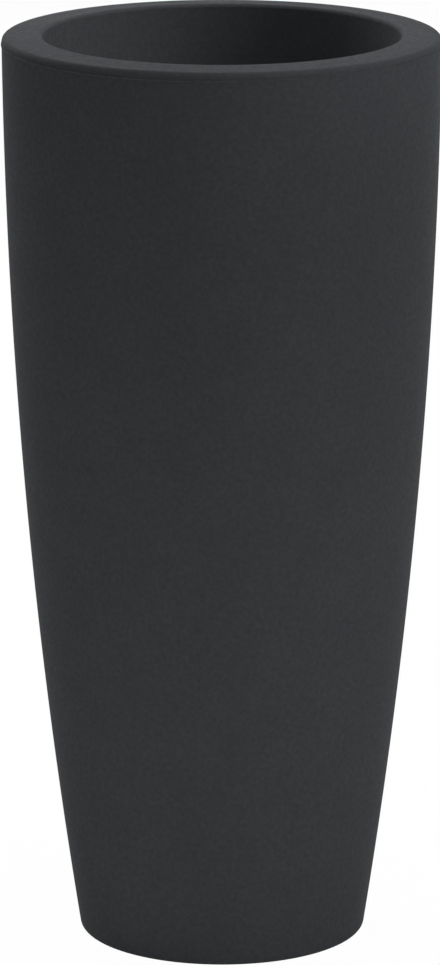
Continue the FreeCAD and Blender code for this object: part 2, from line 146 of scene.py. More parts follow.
def grid_faces(rows, columns, closed_rows):
    """Quads of a grid that wraps round along its columns, and along its rows too where they are closed.

    The corners of a quad are (row, column), (row, next column), (next row, next column), (next row, column).
    """
    row = np.arange(rows if closed_rows else rows - 1)[:, None]
    column = np.arange(columns)[None, :]
    next_row = (row + 1) % rows
    next_column = (column + 1) % columns
    corners = [row * columns + column, row * columns + next_column,
               next_row * columns + next_column, next_row * columns + column]
    quads = np.stack([np.broadcast_to(corner, (row.size, columns)) for corner in corners], axis=-1)
    return quads.reshape(-1, 4).tolist()


def new_piece(name, points, faces):
    """Smooth mesh object at the origin from an array of points in metres and a list of faces."""
    mesh = bpy.data.meshes.new(name)
    mesh.from_pydata(points.reshape(-1, 3), [], faces)
    mesh.polygons.foreach_set("use_smooth", np.ones(len(mesh.polygons), dtype=bool))
    mesh.update()
    piece = bpy.data.objects.new(name, mesh)
    bpy.context.collection.objects.link(piece)
    piece.modifiers.new("flat_faces", "WEIGHTED_NORMAL").weight = FLAT_FACE_WEIGHT
    print(name, "has", len(mesh.vertices), "points and", len(mesh.polygons), "faces")
    return piece


print("a ring of 3 by 8 points has", len(grid_faces(3, 8, True)), "faces")

# %% [markdown]
# To turn an outline, each of its points is carried round a circle of its own radius. The circles are the
# rows of the grid, and the even steps round them are its columns.

# %% Turned surface
def turned_points(outline, steps):
    """Points of an outline turned round Z: (r cos a, r sin a, z), with one row of even angles a for each."""
    angle = np.linspace(0, 2 * math.pi, steps, endpoint=False)[None, :]
    radius, height = outline[:, :1] * MM, outline[:, 1:] * MM
    return np.stack([radius * np.cos(angle), radius * np.sin(angle), height + 0 * angle], axis=-1)


def turned_piece(name, outline, steps):
    """Turned surface of a closed outline, which runs counter-clockwise seen with the radius to the right."""
    return new_piece(name, turned_points(outline, steps), grid_faces(len(outline), steps, True))


print("the square, turned in 8 steps, has points in a grid of", turned_points(tile, 8).shape[:2])

# %% [markdown]
# ## The pot's wall
# A rotomoulded pot is a skin of even thickness: plastic powder melts onto the inside of a turning mould. The
# wall leans out from the base and is almost upright at the rim. It could be drawn by hand as a Bezier curve,
# but the mould was turned to one long arc, so the circle through three points is the truer way: the foot, the
# bowed middle and the top.

# %% The wall's arc
POT_HEIGHT = 700.0              # the pot's sizes are in mm
RIM_RADIUS = 165.5
BASE_RADIUS = 109.5
WALL_BULGE = 13.0               # how far the wall's middle stands out from a straight cone

foot_point = np.array([BASE_RADIUS, 0.0])
middle = np.array([(BASE_RADIUS + RIM_RADIUS) / 2 + WALL_BULGE, POT_HEIGHT / 2])
top_point = np.array([RIM_RADIUS, POT_HEIGHT])
# The centre c is as far from the foot f as from the middle or the top p: 2 (p - f) . c = p . p - f . f
sides = 2 * np.array([middle - foot_point, top_point - foot_point])
squares = np.array([middle @ middle, top_point @ top_point]) - foot_point @ foot_point
WALL_CENTRE = np.linalg.solve(sides, squares)
WALL_ARC = np.linalg.norm(foot_point - WALL_CENTRE)
print("the wall is an arc of", round(WALL_ARC * MM, 2), "m radius")


def wall_radius(height, inset=0.0):
    """Radius of the wall at a height: the circle through foot, bowed middle and top, less an inset."""
    return WALL_CENTRE[0] + np.sqrt((WALL_ARC - inset) ** 2 - (height - WALL_CENTRE[1]) ** 2)


# %% [markdown]
# The pot stands on a ring whose outer edge is rounded, because powder doesn't fill a sharp corner of a mould.
# A Bevel modifier would cut that edge too, but not quite along the arc of the wall. Here the rounding's
# centre is found inside the wall's own circle, so that the edge runs into the wall without a break.

# %% Rounded edge at the ground
BASE_EDGE = 5.0
BASE_EDGE_POINTS = 14


def plain_rows(radius, height):
    """Outline points that need no rounding, as rows of radius, height and 0."""
    return np.stack([radius, height, 0 * height], axis=1)


def ground_edge(rounding, count):
    """Arc from the ground to the wall, as outline rows: its centre lies one rounding away from both."""
    centre = np.array([wall_radius(rounding, rounding), rounding])
    lean = math.atan2(centre[1] - WALL_CENTRE[1], centre[0] - WALL_CENTRE[0])
    turn = np.linspace(-math.pi / 2, lean, count)
    return plain_rows(centre[0] + rounding * np.cos(turn), centre[1] + rounding * np.sin(turn))


base_edge = ground_edge(BASE_EDGE, BASE_EDGE_POINTS)
print("the base's edge runs into the wall", round(base_edge[-1, 1], 2), "mm above the ground")

# %% [markdown]
# Just under the rim a fine raised line runs all round, where the plastic creeps out of the mould's joint. It
# could be painted on as a bump, but it catches light as a real ridge does, so it is a low half wave in the
# outline. The outside of the wall below it and the inside of the wall are rows of points on the wall's arc.

# %% Faces of the wall, with the raised line
SHELL_WALL = 5.0
RIM_FALL = 1.5                  # how much lower the rim's outer edge lies than the mouth
RIM_EDGE = 4.0
LIP_DEPTH = 1.0                 # upright face between the rim's rounding and the joint
RIM_EDGE_HEIGHT = POT_HEIGHT - RIM_FALL
JOINT_HEIGHT = RIM_EDGE_HEIGHT - RIM_EDGE - LIP_DEPTH
BEAD_MARGIN = 0.3
BEAD_WIDTH = 1.6
BEAD_HEIGHT = 0.6
BEAD_POINTS = 11
OUTSIDE_POINTS = 64
INSIDE_POINTS = 24

bead_high = JOINT_HEIGHT - BEAD_MARGIN
bead_heights = np.linspace(bead_high - BEAD_WIDTH, bead_high, BEAD_POINTS)
bead_bump = BEAD_HEIGHT * np.sin(np.linspace(0, math.pi, BEAD_POINTS))
bead = plain_rows(wall_radius(bead_heights) + bead_bump, bead_heights)
outside_heights = np.linspace(base_edge[-1, 1], bead_heights[0], OUTSIDE_POINTS)[1:-1]
wall_outside = plain_rows(wall_radius(outside_heights), outside_heights)
inside_heights = np.linspace(JOINT_HEIGHT, SHELL_WALL, INSIDE_POINTS)
wall_inside = plain_rows(wall_radius(inside_heights, SHELL_WALL), inside_heights)
print("raised line from", round(bead_heights[0], 2), "to", round(bead_high, 2), "mm above the ground")

# %% [markdown]
# ## The pot's shell
# Inside the foot the floor steps up, so that the pot stands on a ring and the drain plug has room below it.
# The outline starts at the hole for the drain, runs under the floor and up the outside, and comes back down
# the inside. At the top the edge is a little rounded, so that the joint with the collar shows as a hair of
# shadow. The CAD node has this shape in flat facets, so a fine turned surface of its sizes takes its place.

# %% Shell
MOULDED_CORNER = 3.0
JOINT_EDGE = 0.25
FOOT_WIDTH = 14.0
KICK_HEIGHT = 20.0              # underside of the raised floor
KICK_SLOPE_WIDTH = 10.0
FLOOR_TOP = KICK_HEIGHT + SHELL_WALL
BUSH_BARREL = 17.0              # hole in the floor, filled by the barrel of the drain bush
SHELL_ARC_POINTS = 9
TURNING_STEPS = 384

wall_inside[-1, 2] = MOULDED_CORNER
kick_slope = KICK_SLOPE_WIDTH / KICK_HEIGHT
foot_inner = BASE_RADIUS - BASE_EDGE - FOOT_WIDTH
gutter_inner = foot_inner + SHELL_WALL * (math.hypot(1, kick_slope) - kick_slope)
shell_outline = rounded_outline([
    [BUSH_BARREL, KICK_HEIGHT, 0.0],
    [foot_inner - KICK_SLOPE_WIDTH, KICK_HEIGHT, MOULDED_CORNER],
    [foot_inner, 0.0, MOULDED_CORNER],
    *base_edge,
    *wall_outside,
    *bead,
    [wall_radius(JOINT_HEIGHT), JOINT_HEIGHT, JOINT_EDGE],
    *wall_inside,
    [gutter_inner, SHELL_WALL, MOULDED_CORNER],
    [gutter_inner - KICK_SLOPE_WIDTH, FLOOR_TOP, MOULDED_CORNER],
    [BUSH_BARREL, FLOOR_TOP, 0.0],
], SHELL_ARC_POINTS)
pot_body = turned_piece("pot_body", shell_outline, TURNING_STEPS)
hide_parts("pot_shell")
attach(pot_body, "pot")

# %% [markdown]
# ## The rim collar
# The broad rim is what the eye goes to. It falls a little towards its outer edge, so that water runs off, and
# both its edges have a small rounding. Inside the mouth the skirt goes down with a little draft, so that the
# mould lets go of it, and ends in the ledge that the liner hangs on. A thin tongue behind the wall centres
# the collar. It is turned as the shell is, with more points on its arcs, because the rim's two edges draw
# the brightest lines on the pot.

# %% Heights and radii of the collar
RIM_WIDTH = 30.5
SKIRT_DEPTH = 70.0
SKIRT_DRAFT = math.tan(math.radians(2.0))
LEDGE_WIDTH = 14.0
TONGUE_DEPTH = 9.0
TONGUE_WALL = 3.0
TONGUE_CLEARANCE = 0.3
MOUTH_RADIUS = RIM_RADIUS - RIM_WIDTH
LEDGE_TOP = POT_HEIGHT - SKIRT_DEPTH
LEDGE_CORNER = MOUTH_RADIUS - SKIRT_DEPTH * SKIRT_DRAFT
LEDGE_INNER = LEDGE_CORNER - LEDGE_WIDTH

skirt_back = SHELL_WALL * (math.hypot(1, SKIRT_DRAFT) - SKIRT_DRAFT)
rim_under = POT_HEIGHT - SHELL_WALL
tongue_low = JOINT_HEIGHT - TONGUE_DEPTH
tongue_outer = wall_radius(tongue_low, SHELL_WALL + TONGUE_CLEARANCE)
tongue_inner = tongue_outer - TONGUE_WALL
tongue_top = wall_radius(JOINT_HEIGHT, SHELL_WALL + TONGUE_CLEARANCE)
print("mouth radius", MOUTH_RADIUS, "mm, ledge", round(LEDGE_INNER, 1), "to", round(LEDGE_CORNER, 1), "mm")

# %% [markdown]
# The rim and the skirt are straight in the outline, so two points each would do. A few more between them keep
# the quads short, and short quads shade evenly where the light changes quickly, as it does in the mouth.

# %% Collar
MOUTH_EDGE = 3.0
LEDGE_EDGE = 0.6
TONGUE_EDGE = 0.4
RIM_SHARES = np.array([0.8, 0.65, 0.5, 0.35, 0.2])      # of the way from the mouth to the outer edge
SKIRT_DEPTHS = np.array([8.0, 16.0, 28.0, 44.0])        # mm below the mouth
COLLAR_ARC_POINTS = 12

rim_face = plain_rows(MOUTH_RADIUS + RIM_SHARES * RIM_WIDTH, POT_HEIGHT - RIM_SHARES * RIM_FALL)
skirt_face = plain_rows(MOUTH_RADIUS - SKIRT_DEPTHS * SKIRT_DRAFT, POT_HEIGHT - SKIRT_DEPTHS)
collar_outline = rounded_outline([
    [wall_radius(JOINT_HEIGHT), JOINT_HEIGHT, JOINT_EDGE],
    [wall_radius(RIM_EDGE_HEIGHT), RIM_EDGE_HEIGHT, RIM_EDGE],
    *rim_face,
    [MOUTH_RADIUS, POT_HEIGHT, MOUTH_EDGE],
    *skirt_face,
    [LEDGE_CORNER, LEDGE_TOP, MOULDED_CORNER],
    [LEDGE_INNER, LEDGE_TOP, LEDGE_EDGE],
    [LEDGE_INNER, LEDGE_TOP - SHELL_WALL, LEDGE_EDGE],
    [LEDGE_CORNER + skirt_back, LEDGE_TOP - SHELL_WALL, MOULDED_CORNER + SHELL_WALL],
    [MOUTH_RADIUS + skirt_back, rim_under, 0.0],
    [tongue_inner, rim_under - RIM_FALL, 0.0],
    [tongue_inner, tongue_low, TONGUE_EDGE],
    [tongue_outer, tongue_low, TONGUE_EDGE],
    [tongue_top, JOINT_HEIGHT, 0.0],
], COLLAR_ARC_POINTS)
rim_ring = turned_piece("rim_ring", collar_outline, TURNING_STEPS)
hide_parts("rim_collar")
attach(rim_ring, "pot")

# %% [markdown]
# ## The drain's thread
# A bush with a thread is moulded into the floor, and a plug screws into it from below against a flat rubber
# ring. The CAD pieces are plain cylinders that turn freely. Here they get their coarse thread: a ridge that
# climbs 3 mm in each turn. A Screw modifier makes such a ridge as a loose strip, which would have to be
# joined to its cylinder. A wave in the radius that runs round and up at once stays one closed surface, and
# it can fade out at both ends, as a moulded thread does.

# %% Threaded outlines
THREAD_PITCH = 3.0
THREAD_DEPTH = 0.9
SAME_RADIUS = 0.001             # radii that are closer than this, in mm, are one radius


def subdivided(outline, spacing):
    """Closed outline with each side cut into equal lengths, as few as keep them within the spacing."""
    ahead = np.roll(outline, -1, axis=0) - outline
    counts = np.maximum(np.ceil(np.linalg.norm(ahead, axis=1) / spacing).astype(int), 1)
    start = np.repeat(np.arange(len(outline)), counts)
    share = (np.arange(counts.sum()) - np.repeat(np.cumsum(counts) - counts, counts)) / counts[start]
    return outline[start] + ahead[start] * share[:, None]


def threaded_points(outline, steps, on_thread, low, high, depth):
    """Turned points whose radius changes by depth * fade(z) * (1 + cos(2 pi z / pitch - a)) / 2.

    With the angle a and the height z, the wave climbs one pitch in each anticlockwise turn. It stands only
    on the outline points that the mask on_thread picks. The fade is 1 between low and high, and falls to 0
    over half a pitch past them.
    """
    points = turned_points(outline, steps)
    height = outline[:, 1:]
    angle = np.linspace(0, 2 * math.pi, steps, endpoint=False)[None, :]
    past_end = np.maximum(np.maximum(low - height, height - high), 0) / (THREAD_PITCH / 2)
    fade = np.clip(1 - past_end, 0, 1) * on_thread[:, None]
    wave = (1 + np.cos(2 * math.pi * height / THREAD_PITCH - angle)) / 2
    points[..., :2] *= (1 + depth * fade * wave / np.maximum(outline[:, :1], SAME_RADIUS))[..., None]
    return points


print("the thread is", THREAD_DEPTH, "mm deep and climbs", THREAD_PITCH, "mm a turn")

# %% [markdown]
# ## The drain bush
# The bush is a short tube with a flange above the floor and one below, which the shell's plastic grips. Its
# outline is cut fine, so that the thread, which is sunk into the bore, comes out as a smooth wave.

# %% Drain bush
BUSH_BORE = 12.3
BUSH_FLANGE = 24.0
FLANGE_PLATE = 3.0
BUSH_LOW = KICK_HEIGHT - FLANGE_PLATE
BUSH_TOP = FLOOR_TOP + FLANGE_PLATE
BORE_EDGE = 0.4
FLANGE_EDGE = 0.8
THREAD_MARGIN = 2.5             # from the end of the bore or the shank to the thread's full depth
BUSH_ARC_POINTS = 5
DRAIN_SPACING = 0.4
DRAIN_STEPS = 128

bush_outline = subdivided(rounded_outline([
    [BUSH_BORE, BUSH_LOW, BORE_EDGE],
    [BUSH_FLANGE, BUSH_LOW, FLANGE_EDGE],
    [BUSH_FLANGE, KICK_HEIGHT, 0.0],
    [BUSH_BARREL, KICK_HEIGHT, 0.0],
    [BUSH_BARREL, FLOOR_TOP, 0.0],
    [BUSH_FLANGE, FLOOR_TOP, 0.0],
    [BUSH_FLANGE, BUSH_TOP, FLANGE_EDGE],
    [BUSH_BORE, BUSH_TOP, BORE_EDGE],
], BUSH_ARC_POINTS), DRAIN_SPACING)
in_bore = bush_outline[:, 0] < BUSH_BORE + SAME_RADIUS
bush_points = threaded_points(
    bush_outline, DRAIN_STEPS, in_bore, BUSH_LOW + THREAD_MARGIN, BUSH_TOP - THREAD_MARGIN, THREAD_DEPTH)
bush = new_piece("threaded_bush", bush_points, grid_faces(len(bush_outline), DRAIN_STEPS, True))
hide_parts("drain_bush")
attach(bush, "pot")

# %% [markdown]
# ## The drain plug
# The plug is a cup that is open at the top, so its outline starts and ends on the axis. A turned grid has no
# single point there: it would pile a whole row of points up on the axis. So the grid stops just short of it,
# and each end is closed by one point with a fan of triangles round it.

# %% Surfaces that close on a point
def capped_faces(rows, columns):
    """Faces of a grid that wraps along its columns, closed at both ends by fans to two extra last points."""
    column = np.arange(columns)
    after = (column + 1) % columns
    top_row = (rows - 1) * columns
    low_fan = np.stack([np.full(columns, rows * columns), after, column], axis=1)
    high_fan = np.stack([np.full(columns, rows * columns + 1), top_row + column, top_row + after], axis=1)
    return grid_faces(rows, columns, False) + low_fan.tolist() + high_fan.tolist()


def capped_points(points, low_end, high_end):
    """Grid points as one list, with the two end points after them."""
    return np.concatenate([points.reshape(-1, 3), [low_end, high_end]])


print("a tube of 3 by 8 points, closed at both ends, has", len(capped_faces(3, 8)), "faces")

# %% [markdown]
# The plug's head presses the seal up against the bush, and its hollow shank carries the outer thread. A
# ridge could stand on the shank, but a groove cut into it leaves the plug at the CAD size, so that it still
# fits the bore. The closed outline is opened again along the axis before it is turned.

# %% Cup of the plug
PLUG_SHANK = 12.0
PLUG_HEAD = 20.0
PLUG_LOW = 11.0
PLUG_SHOULDER = 14.5
PLUG_END = 29.0
PLUG_HOLLOW = 9.5
PLUG_EDGE = 1.0
PLUG_CRISP_EDGE = 0.5
PLUG_TIP_MARGIN = 3.0           # from the end of the shank, which is rounded, to the thread's full depth
AXIS_GAP = 0.5                  # radius of the two fans
PLUG_ARC_POINTS = 6

cup_outline = subdivided(rounded_outline([
    [AXIS_GAP, PLUG_LOW, 0.0],
    [PLUG_HEAD, PLUG_LOW, PLUG_EDGE],
    [PLUG_HEAD, PLUG_SHOULDER, PLUG_CRISP_EDGE],
    [PLUG_SHANK, PLUG_SHOULDER, 0.0],
    [PLUG_SHANK, PLUG_END, PLUG_EDGE],
    [PLUG_HOLLOW, PLUG_END, PLUG_CRISP_EDGE],
    [PLUG_HOLLOW, PLUG_SHOULDER, PLUG_EDGE],
    [AXIS_GAP, PLUG_SHOULDER, 0.0],
], PLUG_ARC_POINTS), DRAIN_SPACING)
at_axis = np.abs(cup_outline[:, 0] - AXIS_GAP) < SAME_RADIUS
cup_outline = cup_outline[:np.argmax(np.cumsum(at_axis) == 2) + 1]
at_shank = np.abs(cup_outline[:, 0] - PLUG_SHANK) < SAME_RADIUS
on_shank = at_shank & (cup_outline[:, 1] > PLUG_SHOULDER + SAME_RADIUS)
cup_grid = threaded_points(
    cup_outline, DRAIN_STEPS, on_shank,
    PLUG_SHOULDER + THREAD_MARGIN, PLUG_END - PLUG_TIP_MARGIN, -THREAD_DEPTH)
cup_points = capped_points(cup_grid, (0, 0, PLUG_LOW * MM), (0, 0, PLUG_SHOULDER * MM))
cup_faces = capped_faces(len(cup_outline), DRAIN_STEPS)
print("the cup has", len(cup_points), "points and", len(cup_faces), "faces")

# %% [markdown]
# The wing that fingers turn the plug by is a flat bar across the head, moulded in one with it and rounded
# over at its edges. A cube with a Bevel modifier would look the same, but an outline carried across the plug
# gives the large corners and the small edges their own radii. Its top is sunk into the head.

# %% Wing, and the whole plug
WING_HALF_LENGTH = 16.0
WING_HALF_WIDTH = 2.5
WING_LOW = 3.0
WING_TOP = 12.5
WING_CORNER = 2.5
WING_ROOT = 0.5                 # rounding of the two corners inside the head
WING_EDGE = 1.0
WING_EDGE_POINTS = 6
WING_ARC_POINTS = 8


def bar_points(outline, half_width, edge, count):
    """Bar across Y: its (x, z) outline moved inwards by edge * (1 - cos t) where the sides round over.

    The rows lie at y = (half width - edge) + edge sin t, with t from 90 degrees to 0, and then at the same
    distances on the other side, in the opposite order.
    """
    along = np.roll(outline, -1, axis=0) - np.roll(outline, 1, axis=0)
    outwards = np.stack([along[:, 1], -along[:, 0]], axis=1) / np.linalg.norm(along, axis=1, keepdims=True)
    turn = np.linspace(math.pi / 2, 0, count)
    side = (half_width - edge) + edge * np.sin(turn)
    inset = edge * (1 - np.cos(turn))
    place = np.concatenate([side, -side[::-1]])[:, None]
    moved = outline[None] - outwards[None] * np.concatenate([inset, inset[::-1]])[:, None, None]
    return np.stack([moved[..., 0], place + 0 * moved[..., 0], moved[..., 1]], axis=-1) * MM


wing_outline = rounded_outline([
    [-WING_HALF_LENGTH, WING_LOW, WING_CORNER],
    [WING_HALF_LENGTH, WING_LOW, WING_CORNER],
    [WING_HALF_LENGTH, WING_TOP, WING_ROOT],
    [-WING_HALF_LENGTH, WING_TOP, WING_ROOT],
], WING_ARC_POINTS)
wing_grid = bar_points(wing_outline, WING_HALF_WIDTH, WING_EDGE, WING_EDGE_POINTS)
wing_side = WING_HALF_WIDTH * MM
wing_height = (WING_LOW + WING_TOP) / 2 * MM
wing_points = capped_points(wing_grid, (0, wing_side, wing_height), (0, -wing_side, wing_height))
wing_faces = [[point + len(cup_points) for point in face] for face in capped_faces(*wing_grid.shape[:2])]
plug = new_piece("screw_plug", np.concatenate([cup_points, wing_points]), cup_faces + wing_faces)
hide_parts("drain_plug")
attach(plug, "plug")

# %% [markdown]
# ## The seal
# A flat rubber ring lies between the plug's head and the bush. It is pressed in a mould of two halves, which
# leaves flat faces with slightly rounded edges. It could be a torus squashed flat, but four rounded corners
# turned round the axis are nearer to that.

# %% Seal
SEAL_INNER = 12.4
SEAL_OUTER = 17.0
SEAL_EDGE = 0.4
SEAL_ARC_POINTS = 5

seal_outline = rounded_outline([
    [SEAL_INNER, PLUG_SHOULDER, SEAL_EDGE],
    [SEAL_OUTER, PLUG_SHOULDER, SEAL_EDGE],
    [SEAL_OUTER, BUSH_LOW, SEAL_EDGE],
    [SEAL_INNER, BUSH_LOW, SEAL_EDGE],
], SEAL_ARC_POINTS)
seal = turned_piece("flat_seal", seal_outline, DRAIN_STEPS)
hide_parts("drain_plug_seal")
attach(seal, "plug_seal")

# %% [markdown]
# ## Materials
# One function turns a colour as it is written, in sRGB, to the linear values that Blender reckons with. One
# more adds a node with its settings and its links, so that each material reads as a short list of nodes
# instead of a tangle of single steps.

# %% Colour and node helpers
MIX_SHARE, MIX_FIRST, MIX_SECOND = 0, 6, 7      # places of a Mix node's sockets when it mixes colours
MIX_RESULT = 2
NOISE_LOW, NOISE_HIGH = 0.3, 0.7                # a noise seldom leaves this range


def linear(hex_colour):
    """Linear RGBA of an sRGB hex colour: c / 12.92 below 0.04045, else ((c + 0.055) / 1.055) ** 2.4."""
    values = np.array([int(hex_colour[i:i + 2], 16) for i in (1, 3, 5)]) / 255
    result = np.where(values <= 0.04045, values / 12.92, ((values + 0.055) / 1.055) ** 2.4)
    return (*result.tolist(), 1.0)


def add_node(tree, kind, settings, inputs):
    """Adds a node. Settings are its own properties; inputs are its sockets, each a value or an output."""
    made = tree.nodes.new(kind)
    for name, value in settings.items():
        setattr(made, name, value)
    for socket, value in inputs.items():
        if isinstance(value, bpy.types.NodeSocket):
            tree.links.new(value, made.inputs[socket])
        else:
            made.inputs[socket].default_value = value
    return made


def new_material(name):
    """Empty node material, and its node tree."""
    material = bpy.data.materials.new(name)
    material.use_nodes = True
    material.node_tree.nodes.clear()
    print("material", name)
    return material, material.node_tree


print("the grey #808080 is", round(linear("#808080")[0], 3), "in linear light")

# %% [markdown]
# The shell is linear polyethylene, ground to powder and rotomoulded. The powder's grains leave a matt, finely
# sanded skin, with cloudy patches where the pigment melted in unevenly. A photograph of such a skin could be
# wrapped round the pot, but it would need a seam. Three noises at real sizes have none: clouds of a few
# centimetres and specks of a few millimetres in the colour, and the grain in the bump.

# %% Rotomoulded polyethylene
# To the eye: a dry anthracite grey, soft and even from all sides, with no clear highlight anywhere.
CLOUD_SIZE = 45 * MM
SPECK_SIZE = 3.2 * MM
GRAIN_SIZE = 1.6 * MM           # the real grain is near 0.5 mm; it is drawn coarser so that it shows
GRAIN_DEPTH = 0.25 * MM
CLOUD_DEEP, CLOUD_PALE = "#404144", "#46484a"
SPECK_COLOUR = "#37383b"
SPECK_SHARE = 0.5
SHELL_DULLEST, SHELL_LEAST_DULL = 0.88, 0.76

shell_plastic, tree = new_material("rotomoulded_polyethylene_anthracite")
place = add_node(tree, "ShaderNodeTexCoord", {}, {}).outputs["Object"]
clouds = add_node(tree, "ShaderNodeTexNoise", {}, {"Vector": place, "Scale": 1 / CLOUD_SIZE, "Detail": 3.0})
specks = add_node(tree, "ShaderNodeTexNoise", {}, {"Vector": place, "Scale": 1 / SPECK_SIZE, "Detail": 2.0})
grain = add_node(tree, "ShaderNodeTexNoise", {}, {"Vector": place, "Scale": 1 / GRAIN_SIZE, "Detail": 3.0})
cloud_colour = add_node(tree, "ShaderNodeMix", {"data_type": "RGBA"}, {
    MIX_SHARE: clouds.outputs[0], MIX_FIRST: linear(CLOUD_DEEP), MIX_SECOND: linear(CLOUD_PALE)})
speck_share = add_node(tree, "ShaderNodeMapRange", {}, {
    0: specks.outputs[0], "From Min": NOISE_LOW, "From Max": NOISE_HIGH,
    "To Min": 0.0, "To Max": SPECK_SHARE})
colour = add_node(tree, "ShaderNodeMix", {"data_type": "RGBA"}, {
    MIX_SHARE: speck_share.outputs[0], MIX_FIRST: cloud_colour.outputs[MIX_RESULT],
    MIX_SECOND: linear(SPECK_COLOUR)})
dullness = add_node(tree, "ShaderNodeMapRange", {}, {
    0: specks.outputs[0], "From Min": NOISE_LOW, "From Max": NOISE_HIGH,
    "To Min": SHELL_LEAST_DULL, "To Max": SHELL_DULLEST})
bump = add_node(tree, "ShaderNodeBump", {}, {
    "Height": grain.outputs[0], "Strength": 0.35, "Distance": GRAIN_DEPTH})
skin = add_node(tree, "ShaderNodeBsdfPrincipled", {}, {
    "Base Color": colour.outputs[MIX_RESULT], "Roughness": dullness.outputs[0], "Normal": bump.outputs[0],
    "IOR": 1.51, "Specular IOR Level": 0.03, "Diffuse Roughness": 0.4})
add_node(tree, "ShaderNodeOutputMaterial", {}, {"Surface": skin.outputs[0]})

# %% [markdown]
# The liner, grid, handles, bush and plug are injection-moulded polypropylene. The melt runs in from one point
# and leaves long faint streaks in the colour, and the spark-cut steel of the mould gives the face a satin
# texture. The same few nodes serve all of them, each with its own two shades and its own dullness.

# %% Injection-moulded polypropylene
# To the eye: darker and tighter than the shell, with a satin sheen that follows every curve.
STREAK_SIZE = 18 * MM
STREAK_STRETCH = (1.0, 1.0, 0.15)
SPARK_SIZE = 0.9 * MM           # the real texture is near 0.1 mm; it is drawn coarser so that it shows
SPARK_DEPTH = 0.12 * MM
STREAK_DULLING = 0.1


def moulded_polypropylene(name, deep, pale, roughness):
    """Satin plastic: streaks drawn out along Z between two shades, and a fine spark texture in the bump."""
    material, tree = new_material(name)
    place = add_node(tree, "ShaderNodeTexCoord", {}, {}).outputs["Object"]
    drawn = add_node(tree, "ShaderNodeMapping", {}, {"Vector": place, "Scale": STREAK_STRETCH})
    streaks = add_node(tree, "ShaderNodeTexNoise", {}, {
        "Vector": drawn.outputs[0], "Scale": 1 / STREAK_SIZE, "Detail": 3.0})
    spark = add_node(tree, "ShaderNodeTexNoise", {}, {
        "Vector": place, "Scale": 1 / SPARK_SIZE, "Detail": 2.0})
    colour = add_node(tree, "ShaderNodeMix", {"data_type": "RGBA"}, {
        MIX_SHARE: streaks.outputs[0], MIX_FIRST: linear(deep), MIX_SECOND: linear(pale)})
    dullness = add_node(tree, "ShaderNodeMapRange", {}, {
        0: streaks.outputs[0], "From Min": NOISE_LOW, "From Max": NOISE_HIGH,
        "To Min": roughness, "To Max": roughness + STREAK_DULLING})
    bump = add_node(tree, "ShaderNodeBump", {}, {
        "Height": spark.outputs[0], "Strength": 0.25, "Distance": SPARK_DEPTH})
    shader = add_node(tree, "ShaderNodeBsdfPrincipled", {}, {
        "Base Color": colour.outputs[MIX_RESULT], "Roughness": dullness.outputs[0],
        "Normal": bump.outputs[0], "IOR": 1.49, "Specular IOR Level": 0.2})
    add_node(tree, "ShaderNodeOutputMaterial", {}, {"Surface": shader.outputs[0]})
    return material


liner_plastic = moulded_polypropylene("moulded_polypropylene_black", "#242628", "#2d2f31", 0.42)
handle_plastic = moulded_polypropylene("moulded_polypropylene_graphite", "#34363a", "#3d4043", 0.36)
drain_plastic = moulded_polypropylene("moulded_polypropylene_drain", "#1e1f21", "#26282a", 0.42)

# %% [markdown]
# The seal is pressed from EPDM rubber, with a bloom of wax and talc that comes out of it in small pale
# patches. One plain black would make it look like one more plastic, so a noise mixes the bloom in, and the
# same noise gives the face its faint bumps.

# %% Pressed rubber
# To the eye: the blackest and dullest piece of the drain, faintly dusty.
BLOOM_SIZE = 2.5 * MM
BLOOM_DEPTH = 0.1 * MM
BLOOM_START, BLOOM_FULL = 0.45, 0.75

seal_rubber, tree = new_material("pressed_epdm_rubber_black")
place = add_node(tree, "ShaderNodeTexCoord", {}, {}).outputs["Object"]
bloom = add_node(tree, "ShaderNodeTexNoise", {}, {"Vector": place, "Scale": 1 / BLOOM_SIZE, "Detail": 4.0})
patches = add_node(tree, "ShaderNodeMapRange", {}, {
    0: bloom.outputs[0], "From Min": BLOOM_START, "From Max": BLOOM_FULL, "To Min": 0.0, "To Max": 1.0})
colour = add_node(tree, "ShaderNodeMix", {"data_type": "RGBA"}, {
    MIX_SHARE: patches.outputs[0], MIX_FIRST: linear("#131313"), MIX_SECOND: linear("#242423")})
bump = add_node(tree, "ShaderNodeBump", {}, {
    "Height": bloom.outputs[0], "Strength": 0.2, "Distance": BLOOM_DEPTH})
shader = add_node(tree, "ShaderNodeBsdfPrincipled", {}, {
    "Base Color": colour.outputs[MIX_RESULT], "Roughness": 0.78, "Normal": bump.outputs[0], "IOR": 1.5})
add_node(tree, "ShaderNodeOutputMaterial", {}, {"Surface": shader.outputs[0]})

# %% [markdown]
# The pins are drawn stainless wire. Pulling the wire through the die leaves bright scratches that run along
# it. An anisotropic shader is one way to show them; a noise stretched along the pins, which lie along Y, also
# shows single scratches close up.

# %% Drawn steel
# To the eye: the only bright pieces, with fine lines along them that draw a highlight out sideways.
SCRATCH_SIZE = 0.35 * MM
SCRATCH_DEPTH = 0.02 * MM
SCRATCH_STRETCH = (1.0, 0.04, 1.0)
STEEL_BRIGHT, STEEL_DULL = 0.22, 0.42

